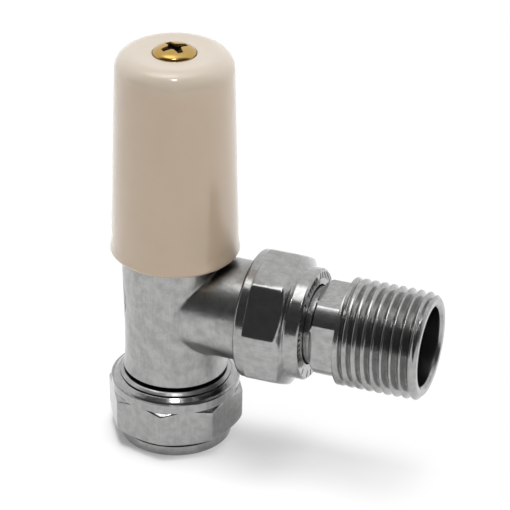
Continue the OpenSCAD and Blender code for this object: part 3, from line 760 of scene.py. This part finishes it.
class VALVE_OT_pipe_nut(bpy.types.Operator):
    """Adds the eight-sided nut round the pipe"""
    bl_idname = "valve.pipe_nut"
    bl_label = "Pipe nut"

    def execute(self, context):
        size = context.scene.valve_nuts
        finish = context.scene.valve_finishes
        across, edge = size.pipe_nut_flats / MM, size.edge / MM
        corner = across / 2 / math.cos(math.pi / NUT_SIDES)
        profile = rounded([
            (7.65, 1.0), (7.65, 0.15, 0.1), (7.8, 0, 0.1), (10.75, 0, 0.2), (10.98, 0.15, 0.2),
            (11.22, 2.2, 0.08), (10.5, 2.28, 0.05), (10.5, 2.62, 0.05), (11.3, 2.62, 0.1),
            (13.05, 3.6, 0.9), (corner + 0.5, 5.0, 0.3), (corner + 0.5, 9.93, 0.1),
            (12.62, 10.7, 0.12), (12.62, 12.5, 0.12), (12.2, 12.42, 0.08), (11.95, 12.75, 0.5),
            (11.2, 13.4, 0.1), (10.7, 13.4, 0.1), (10.45, 13.15, 0.1), (10.45, 3.75, 0.1),
            (9.2, 3.75, 0.1), (7.65, 2.2, 0.1), (7.65, 1.0)], 0.12, 0.3)[:-1]
        turn = size.pipe_nut_turn + math.pi / NUT_SIDES

        def shape(radius, angle, height):
            """Cuts the eight flats. The tumbled foot edge is rounder than the top one."""
            cut = polygon_radius(angle, NUT_SIDES, across, turn, edge)
            soft = edge * np.interp(height, [3, 5.5, 9.5, 12], [3, 2, 1.4, 0.4])
            return np.where(radius > 11.3, soft_min(radius, cut, soft), radius), height

        nut = turned("pipe_nut", profile, upright, 384, shape)
        # bright nickel over a turned nut: flats from the drawn bar, lathe lines on the chamfers
        plate = nickel(
            "nickel_on_turned_pipe_nut", finish.nut, patch="#919190", cloud_mm=1.5,
            rough=0.16, spread=0.05, grain_mm=0.35, grain_depth=0.003, lathe_depth=0.0012,
            wave_mm=1.1, wave_depth=0.03, streak_depth=0.006, along=(1, 1, 0.07))
        finish_piece(nut, plate, "pipe_nut", "compression_nut")
        return {"FINISHED"}


class VALVE_OT_union_nut(bpy.types.Operator):
    """Adds the eight-sided nut of the union"""
    bl_idname = "valve.union_nut"
    bl_label = "Union nut"

    def execute(self, context):
        size = context.scene.valve_nuts
        finish = context.scene.valve_finishes
        across, edge = size.union_nut_flats / MM, size.edge / MM
        corner = across / 2 / math.cos(math.pi / NUT_SIDES)
        start, stop = UNION_LOW.x, UNION_HIGH.x
        profile = rounded([
            (10.45, start + 3), (10.45, start + 0.25, 0.1), (10.7, start, 0.1),
            (12.1, start, 0.3), (12.5, start + 0.4, 0.3), (12.5, start + 2.1, 0.15),
            (13.23, start + 2.1, 0.1), (corner + 0.5, start + 2.9, 0.1),
            (corner + 0.5, stop - 4.2, 0.1), (10.8, stop - 2.7, 0.3), (10.8, stop - 0.4, 0.25),
            (10.4, stop, 0.25), (7.9, stop, 0.1), (7.75, stop - 0.15, 0.1),
            (7.75, stop - 4.5, 0.1), (9.85, stop - 4.5, 0.1), (9.85, 22.9, 0.1),
            (10.45, 22.3, 0.1), (10.45, start + 3)], 0.12, 0.3)[:-1]
        turn = size.union_nut_turn

        def shape(radius, angle, height):
            """Cuts the eight flats, which run softly into the cone at the tail's end."""
            cut = polygon_radius(angle, NUT_SIDES, across, turn, 4 * edge)
            soft = edge * np.interp(height, [start + 2, stop - 5, stop - 3.5], [1, 1.5, 6])
            return np.where(radius > 11.3, soft_min(radius, cut, soft), radius), height

        nut = turned("union_nut_turned", profile, level, 384, shape)
        # the same plate as on the pipe nut, with the bar's die lines along the branch
        plate = nickel(
            "nickel_on_turned_union_nut", finish.nut, patch="#919190", cloud_mm=1.5,
            rough=0.16, spread=0.05, grain_mm=0.35, grain_depth=0.003, lathe_depth=0.0012,
            wave_mm=1.1, wave_depth=0.03, streak_depth=0.006, along=(0.07, 1, 1))
        press_ticks(plate, stop, size.mark_depth)
        finish_piece(nut, plate, "union_nut", "union_nut")
        return {"FINISHED"}


class VALVE_OT_tail(bpy.types.Operator):
    """Adds the tail with its flatted shank and its taper thread"""
    bl_idname = "valve.tail"
    bl_label = "Union tail"

    def execute(self, context):
        size = context.scene.valve_tail
        finish = context.scene.valve_finishes
        end = TAIL_HIGH.x
        gauge = size.gauge_radius / MM
        thread_x = end - 16.1
        bore_r, neck_bore_r, shank = 7.68, 5.0, size.shank_radius / MM

        def crest(x):
            """Radius over the crests, on a cone that tapers by 1 in 16."""
            return gauge + (end - size.gauge_length / MM - x) / 32

        def depth(x):
            """Depth of the thread, which runs in beside the shank."""
            return size.depth / MM * np.clip((x - thread_x + 0.3) / 1.6, 0, 1)

        def radius_at(x):
            """Radius over the crests, a little lower where the thread begins."""
            return crest(x) - 0.35 * (1 - np.clip(x - thread_x, 0, 1))

        thread = helix_sheet(
            "taper_thread", thread_x, end, radius_at, depth, size.pitch / MM, level, 180,
            phase=-0.29)
        # the rounded end takes the crests off and closes the last groove
        mesh = thread.data
        points = np.empty(len(mesh.vertices) * 3)
        mesh.vertices.foreach_get("co", points)
        points = points.reshape(-1, 3) / MM
        y, z = points[:, 1], points[:, 2] - BRANCH_Z
        radius = np.hypot(y, z)
        back = np.clip((end - points[:, 0]) / 1.0, 0, 1)
        limit = crest(end) - 0.15 - 0.85 * (1 - back) ** 2
        near = np.clip((back - 0.5) / 0.4, 0, 1)
        near = near * near * (3 - 2 * near)
        wanted = limit * (1 - near) + soft_min(radius, limit + near * 0.3, 0.05) * near
        points[:, 1] *= wanted / radius
        points[:, 2] = BRANCH_Z + z * wanted / radius
        mesh.vertices.foreach_set("co", (points * MM).ravel())
        mesh.update()

        groove = 5.74  # for the seal ring
        profile = rounded([
            (neck_bore_r, 20), (neck_bore_r, 17.9, 0.1), (6.45, 17.9, 0.1), (6.85, 18.3, 0.1),
            (6.85, 18.9, 0.05),
            (groove, 18.9, 0.05), (groove, 20.3, 0.05), (6.85, 20.3, 0.05), (6.85, 21.6, 0.1),
            (7.7, 21.6, 0.1), (7.7, 22.3, 0.1), (6.95, 22.3, 0.1), (6.95, 24.2, 0.1),
            (7.5, 24.2, 0.1), (7.5, 30.25, 0.15), (shank - 0.45, 30.25, 0.15),
            (shank, 30.7, 0.2), (shank, thread_x, 0.1)], 0.1, 0.3)
        inner = rounded([
            (crest(end) - 1.0, end, 0.1), (bore_r + 0.55, end, 0.15), (bore_r, end - 0.55, 0.1),
            (bore_r, thread_x + 1.0, 0.2), (neck_bore_r, thread_x - 0.9, 0.2),
            (neck_bore_r, 20)], 0.1, 0.5)
        across, turn = size.shank_flats / MM, size.shank_turn

        def shape(radius, angle, along):
            """Cuts the shank's four flats."""
            flat = polygon_radius(angle, 4, across, turn, 0.02)
            on_shank = (along > 30.3) & (radius > 7.6)
            return np.where(on_shank, soft_min(radius, flat, 0.08), radius), along

        outer = turned("tail_outer", profile, level, 288, shape, closed=False)
        bore = turned("tail_bore", inner, level, 180, None, closed=False)
        # the plain step between the shank and the thread's first root
        step = turned("tail_step", rounded([
            (7.0, thread_x), (crest(thread_x) - 0.35, thread_x)], 0.1, 0.2),
            level, 180, None, closed=False)
        tail = joined("turned_tail", [outer, bore, step, thread])
        smooth(tail, 50)
        # nickel over a turned tail: satin bright, with the tool's fine lines round it
        plate = nickel(
            "nickel_on_turned_tail", finish.tail, patch="#8F8F8E", cloud_mm=1.5,
            rough=0.2, spread=0.06, grain_mm=0.3, grain_depth=0.003, lathe_depth=0.001,
            wave_mm=1.1, wave_depth=0.02, streak_depth=0.003, along=(0.3, 1, 1))
        finish_piece(tail, plate, "tail", "radiator_tail")
        return {"FINISHED"}


class VALVE_OT_cap(bpy.types.Operator):
    """Adds the cap's moulded outer skin round its CAD ribs and socket"""
    bl_idname = "valve.cap"
    bl_label = "Cap"

    def execute(self, context):
        size = context.scene.valve_cap
        lip, top = size.lip_radius / MM, size.top_radius / MM
        round_r = size.shoulder / MM
        low, high = CAP_LOW.z, CAP_HIGH.z
        crown = high - 0.01
        side = rounded([
            (lip - 1.65, low + 0.05), (lip - 1.5, low, 0.1), (lip - 0.5, low, 0.3),
            (lip, low + 0.5, 0.5), (lip - 0.08, low + 1.1, 1.5), (lip - 0.3, low + 2.6, 3),
            (top, crown - round_r)], 0.2, 0.3)
        turn = np.linspace(0, math.pi / 2, 24)[1:]
        dome = np.stack([top - round_r + round_r * np.cos(turn),
                         crown - round_r + round_r * np.sin(turn)], -1)
        rest = rounded([(top - round_r, crown), (5.6, high - 0.15, 2), (4.32, high - 0.17, 0.1),
                        (4.22, high - 0.27, 0.08), (4.22, high - 0.62)], 0.1, 0.3)[1:]
        profile = np.vstack([side, dome, rest])
        skin = turned("cap_skin", profile, upright, 240, None, closed=False)

        def outside(c, normal):
            """Outer faces of the CAD cap, and its sunk rim round the screw."""
            radius = math.hypot(c.x, c.y)
            wall = np.interp(c.z, [low, low + 2.6, crown - round_r, high],
                             [lip, lip - 0.3, top, top])
            if normal.z > 0.3 and c.z > high - 3.6 and radius > 4.3:
                return True
            if radius > wall - 0.6 and c.z > low + 0.01:
                return True
            return c.z > high - 0.7 and 4.1 < radius < 4.4

        inside = copy_of("cap", outside)
        cap = joined("moulded_cap", [inside, skin])
        smooth(cap, 32)
        finish_piece(cap, cream_plastic(context.scene.valve_finishes.cap), "head",
                     "cap")
        return {"FINISHED"}


class VALVE_OT_cap_screw(bpy.types.Operator):
    """Adds the cap's domed screw with its cross recess"""
    bl_idname = "valve.cap_screw"
    bl_label = "Cap screw"

    def execute(self, context):
        size = context.scene.valve_cap
        finish = context.scene.valve_finishes
        head = size.screw_radius / MM
        top, low = SCREW_HIGH.z, SCREW_LOW.z
        dome, power = 1.42, 2.15  # height and fullness of the head's arch
        wing_reach, wing_depth, soft_wall = 2.5, 1.9, 0.08
        rim = top - dome
        radii = np.r_[np.linspace(0.03, 2.7, 90), np.linspace(2.75, head, 26)]
        heights = rim + dome * np.maximum(1 - (radii / head) ** power, 0) ** (1 / power)
        # the head's edge is drawn by angle, where the profile turns steep
        edge = np.linspace(0.5, 0, 14)[1:]
        edge_r = head * (1 - edge ** power) ** (1 / power)
        edge_z = rim + dome * edge
        keep = radii < edge_r[0] - 0.02
        head_points = np.stack([np.r_[radii[keep], edge_r], np.r_[heights[keep], edge_z]], -1)
        seat = rim - 0.25
        rest = rounded([
            (head, rim, 0.1), (head, seat, 0.15), (2.0, seat, 0.1), (2.0, low + 0.4, 0.1),
            (1.6, low, 0.1), (0.05, low, 0.1)], 0.1, 0.2)[1:]
        profile = np.vstack([head_points, rest])
        turn = size.recess_turn

        def shape(radius, angle, height):
            """Sinks a cross recess into the dome: four tapered wings round a deep middle."""
            x, y = radius * np.cos(angle - turn), radius * np.sin(angle - turn)
            near, far = np.maximum(abs(x), abs(y)), np.minimum(abs(x), abs(y))
            half = 0.86 - 0.13 * near
            wall = np.clip((half - far) / soft_wall + 0.5, 0, 1)
            end = np.clip((wing_reach - near) / 0.2 + 0.5, 0, 1)
            middle = np.clip((1.2 - np.hypot(x, y)) / 0.2 + 0.5, 0, 1)
            sunk = np.maximum(wall * end * (wing_depth - 0.3 * near), middle * 2.1)
            return radius, height - np.where(height > rim + 0.3, sunk, 0)

        screw = turned("cross_recess_screw", profile, upright, 256, shape, closed=False)
        gold = plain_metal("yellow_passivated_screw", finish.screw, "#A98540", 0.2, 0.3, 0.002)
        # painted shade darkens the cross recess
        painted_recess_shade(gold, 2.7, top - 0.35)
        finish_piece(screw, gold, "head", "cap_screw")
        return {"FINISHED"}


class VALVE_OT_inner_parts(bpy.types.Operator):
    """Gives the hidden CAD pieces their materials"""
    bl_idname = "valve.inner_parts"
    bl_label = "Inner parts"

    def execute(self, context):
        finish = context.scene.valve_finishes
        # CW614N brass, turned: warm yellow, finely ringed, a little dull where it was handled
        brass = plain_metal("brass_turned", finish.brass, "#B58D49", 0.28, 0.2, 0.003)
        # EPDM and NBR rubber, moulded: near black, matt
        rubber = soft_solid("rubber_moulded", "#1B1B1A", "#262524", 0.6, 0.15, 0.004)
        # pressed fibre and rubber sheet: dark grey-green, matt, slightly mottled
        fibre = soft_solid("fibre_pressed", "#3E423F", "#4D514C", 0.8, 0.25, 0.01)
        # PTFE, skived: white and waxy
        packing = soft_solid("ptfe_skived", "#EDEDE8", "#E3E2DB", 0.4, 0.3, 0.003)
        # drawn stainless wire: smooth, with fine lines along it
        wire = plain_metal("stainless_wire_drawn", "#C4C5C6", "#AFB0B2", 0.25, 0.1, 0.001)
        given = {
            brass: ("olive", "headwork", "gland_nut", "gland_follower", "jumper", "washer_nut",
                    "spindle"),
            rubber: ("valve_washer", "spindle_o_ring", "tail_o_ring"),
            fibre: ("headwork_seal",),
            packing: ("gland_packing",),
            wire: ("retaining_ring",),
        }
        for material, nodes in given.items():
            for node in nodes:
                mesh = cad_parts[node].data
                mesh.materials.clear()
                mesh.materials.append(material)
        return {"FINISHED"}


class VALVE_OT_stage(bpy.types.Operator):
    """Adds the floor, the soft studio light and the camera"""
    bl_idname = "valve.stage"
    bl_label = "Stage"

    def execute(self, context):
        scene = context.scene
        stage = scene.valve_stage
        finish = scene.valve_finishes
        scene.view_settings.view_transform = "Standard"

        # floor: matt white sheet, wide enough that its edge is never seen
        far = 2500
        floor = new_piece("studio_floor", [
            (-far, -far, 0), (far, -far, 0), (far, far, 0), (-far, far, 0)], [(0, 1, 2, 3)])
        sheet, tree, shader = new_material("studio_floor_matt")
        shader.inputs["Base Color"].default_value = linear(finish.floor)
        shader.inputs["Roughness"].default_value = 0.9
        shader.inputs["Specular IOR Level"].default_value = 0.1
        path = add_node(tree, "ShaderNodeLightPath")
        seen = add_node(tree, "ShaderNodeMath", {
            0: path.outputs["Is Camera Ray"], 1: path.outputs["Is Transmission Ray"]},
            operation="MAXIMUM")
        # painted light and shade on the floor: more white is mixed in toward the tail's end and
        # behind the valve, which paints the shadow fainter there, and less on the pipe nut's far
        # side, which paints it darker there
        spot = add_node(tree, "ShaderNodeTexCoord")
        axis = add_node(tree, "ShaderNodeSeparateXYZ", {"Vector": spot.outputs["Object"]})
        along = add_node(tree, "ShaderNodeMapRange", {
            "Value": axis.outputs["X"], "From Min": 20 * MM, "From Max": 48 * MM,
            "To Min": stage.near_glow, "To Max": stage.floor_glow})
        near = add_node(tree, "ShaderNodeMapRange", {
            "Value": axis.outputs["X"], "From Min": -10 * MM, "From Max": 12 * MM,
            "To Min": stage.near_glow - stage.left_glow, "To Max": 0.0})
        held = add_node(tree, "ShaderNodeMath", {
            0: along.outputs["Result"], 1: near.outputs["Result"]}, operation="SUBTRACT")
        behind = add_node(tree, "ShaderNodeMapRange", {
            "Value": axis.outputs["Y"], "From Min": 1 * MM, "From Max": 13 * MM,
            "To Max": stage.behind_glow}, interpolation_type="SMOOTHSTEP")
        paler = add_node(tree, "ShaderNodeMix", {
            "Factor": behind.outputs["Result"], "A": held.outputs["Value"], "B": 1.0})
        straight = add_node(tree, "ShaderNodeMath", {
            0: seen.outputs["Value"], 1: paler.outputs["Result"]}, operation="MULTIPLY")
        share = add_node(tree, "ShaderNodeMath", {
            0: path.outputs["Is Glossy Ray"], 1: stage.mirrored_glow,
            2: straight.outputs["Value"]}, operation="MULTIPLY_ADD")
        glow = add_node(tree, "ShaderNodeEmission", {"Color": (1, 1, 1, 1), "Strength": 1})
        mixed = add_node(tree, "ShaderNodeMixShader", {
            0: share.outputs["Value"], 1: shader.outputs["BSDF"], 2: glow.outputs["Emission"]})
        tree.links.new(mixed.outputs["Shader"], tree.nodes["Material Output"].inputs["Surface"])
        floor.data.materials.append(sheet)

        # the room: white where the camera sees it, else a tent with a bright ceiling, pale walls
        # and a dark opening on the camera's side. Metal mirrors a sharper tent than the one that
        # lights the plastic
        world = bpy.data.worlds.new("light_tent")
        world.use_nodes = True
        tree = world.node_tree
        tree.nodes.clear()
        where = add_node(tree, "ShaderNodeTexCoord")
        open_side = Vector((math.sin(stage.azimuth), -math.cos(stage.azimuth), 0))

        def direction(turn, elevation):
            """A direction from its turn from the camera's side and its height."""
            aside = Matrix.Rotation(turn, 3, "Z") @ open_side * math.cos(elevation)
            return aside + Vector((0, 0, math.sin(elevation)))

        def tent(overhead, overhead_edge, top, wall_light, dark_side, dark_edge):
            """Brightness by direction: a ceiling round one direction, an opening round another."""
            above = add_node(tree, "ShaderNodeVectorMath", {
                0: where.outputs["Generated"], 1: overhead}, operation="DOT_PRODUCT")
            toward = add_node(tree, "ShaderNodeVectorMath", {
                0: where.outputs["Generated"], 1: dark_side}, operation="DOT_PRODUCT")
            ceiling = add_node(tree, "ShaderNodeMapRange", {
                "Value": above.outputs["Value"], "From Min": overhead_edge[0],
                "From Max": overhead_edge[1]}, interpolation_type="SMOOTHSTEP")
            opening = add_node(tree, "ShaderNodeMapRange", {
                "Value": toward.outputs["Value"], "From Min": dark_edge[0],
                "From Max": dark_edge[1]}, interpolation_type="SMOOTHSTEP")
            wall = add_node(tree, "ShaderNodeMix", {
                "Factor": opening.outputs["Result"], "A": wall_light,
                "B": stage.opening_light})
            return add_node(tree, "ShaderNodeMix", {
                "Factor": ceiling.outputs["Result"], "A": wall.outputs["Result"], "B": top})

        even = tent(Vector((0, 0, 1)), (0.955, 0.985), stage.ceiling_light, stage.wall_light,
                    direction(stage.opening_turn, 0), (0.22, 0.5))
        mirrored = tent(
            direction(stage.patch_turn, stage.patch_elevation), (0.94, 0.99),
            stage.mirrored_ceiling, stage.mirrored_wall, open_side, (-0.08, 0.25))
        path = add_node(tree, "ShaderNodeLightPath")
        seen = add_node(tree, "ShaderNodeMath", {
            0: path.outputs["Is Camera Ray"], 1: path.outputs["Is Transmission Ray"]},
            operation="MAXIMUM")
        either = add_node(tree, "ShaderNodeMix", {
            "Factor": path.outputs["Is Glossy Ray"], "A": even.outputs["Result"],
            "B": mirrored.outputs["Result"]})
        plain = add_node(tree, "ShaderNodeBackground", {
            "Color": (1, 1, 1, 1), "Strength": either.outputs["Result"]})
        white = add_node(tree, "ShaderNodeBackground", {"Color": (1, 1, 1, 1), "Strength": 1})
        mixed = add_node(tree, "ShaderNodeMixShader", {
            0: seen.outputs["Value"], 1: plain.outputs["Background"],
            2: white.outputs["Background"]})
        add_node(tree, "ShaderNodeOutputWorld", {"Surface": mixed.outputs["Shader"]})
        scene.world = world

        lamp = bpy.data.lights.new("front_lamp", "AREA")
        lamp.shape, lamp.energy = "RECTANGLE", stage.lamp_power
        lamp.size, lamp.size_y = stage.lamp_width, stage.lamp_height
        box = bpy.data.objects.new("front_lamp", lamp)
        box.location = stage.lamp_distance * direction(0, stage.lamp_elevation)
        aim = Vector((0, 0, 50 * MM))
        box.rotation_euler = (aim - box.location).to_track_quat("-Z", "Y").to_euler()
        scene.collection.objects.link(box)

        camera_data = bpy.data.cameras.new("studio_camera")
        camera_data.sensor_width = 36
        camera_data.lens = stage.lens
        camera_data.clip_start, camera_data.clip_end = 0.01, 10
        camera = bpy.data.objects.new("studio_camera", camera_data)
        scene.collection.objects.link(camera)
        turn = (Matrix.Rotation(stage.azimuth, 4, "Z")
                @ Matrix.Rotation(math.pi / 2 - stage.elevation, 4, "X")
                @ Matrix.Rotation(stage.roll, 4, "Z"))
        camera.matrix_world = Matrix.Translation(stage.camera_place) @ turn
        scene.camera = camera
        return {"FINISHED"}


# Sidebar and start

OPERATORS = (
    VALVE_OT_body, VALVE_OT_pipe_nut, VALVE_OT_union_nut, VALVE_OT_tail, VALVE_OT_cap,
    VALVE_OT_cap_screw, VALVE_OT_inner_parts, VALVE_OT_stage)
GROUPS = {
    "valve_body": ValveBodySizes, "valve_nuts": ValveNutSizes, "valve_tail": ValveTailSizes,
    "valve_cap": ValveCapSizes, "valve_finishes": ValveFinishes, "valve_stage": ValveStageSettings}


class VALVE_PT_sidebar(bpy.types.Panel):
    bl_label = "Radiator valve"
    bl_idname = "VALVE_PT_sidebar"
    bl_space_type = "VIEW_3D"
    bl_region_type = "UI"
    bl_category = "Valve"

    def draw(self, context):
        for operator in OPERATORS:
            self.layout.operator(operator.bl_idname)
        for name, group in GROUPS.items():
            box = self.layout.box()
            for field in group.__annotations__:
                box.prop(getattr(context.scene, name), field)


def register():
    for item in (*GROUPS.values(), *OPERATORS, VALVE_PT_sidebar):
        bpy.utils.register_class(item)
    for name, group in GROUPS.items():
        setattr(bpy.types.Scene, name, bpy.props.PointerProperty(type=group))


def unregister():
    for name in GROUPS:
        delattr(bpy.types.Scene, name)
    for item in (VALVE_PT_sidebar, *reversed(OPERATORS), *reversed(list(GROUPS.values()))):
        bpy.utils.unregister_class(item)


def main():
    register()
    bpy.ops.valve.body()
    bpy.ops.valve.pipe_nut()
    bpy.ops.valve.union_nut()
    bpy.ops.valve.tail()
    bpy.ops.valve.cap()
    bpy.ops.valve.cap_screw()
    bpy.ops.valve.inner_parts()
    bpy.ops.valve.stage()


if __name__ == "__main__":
    main()
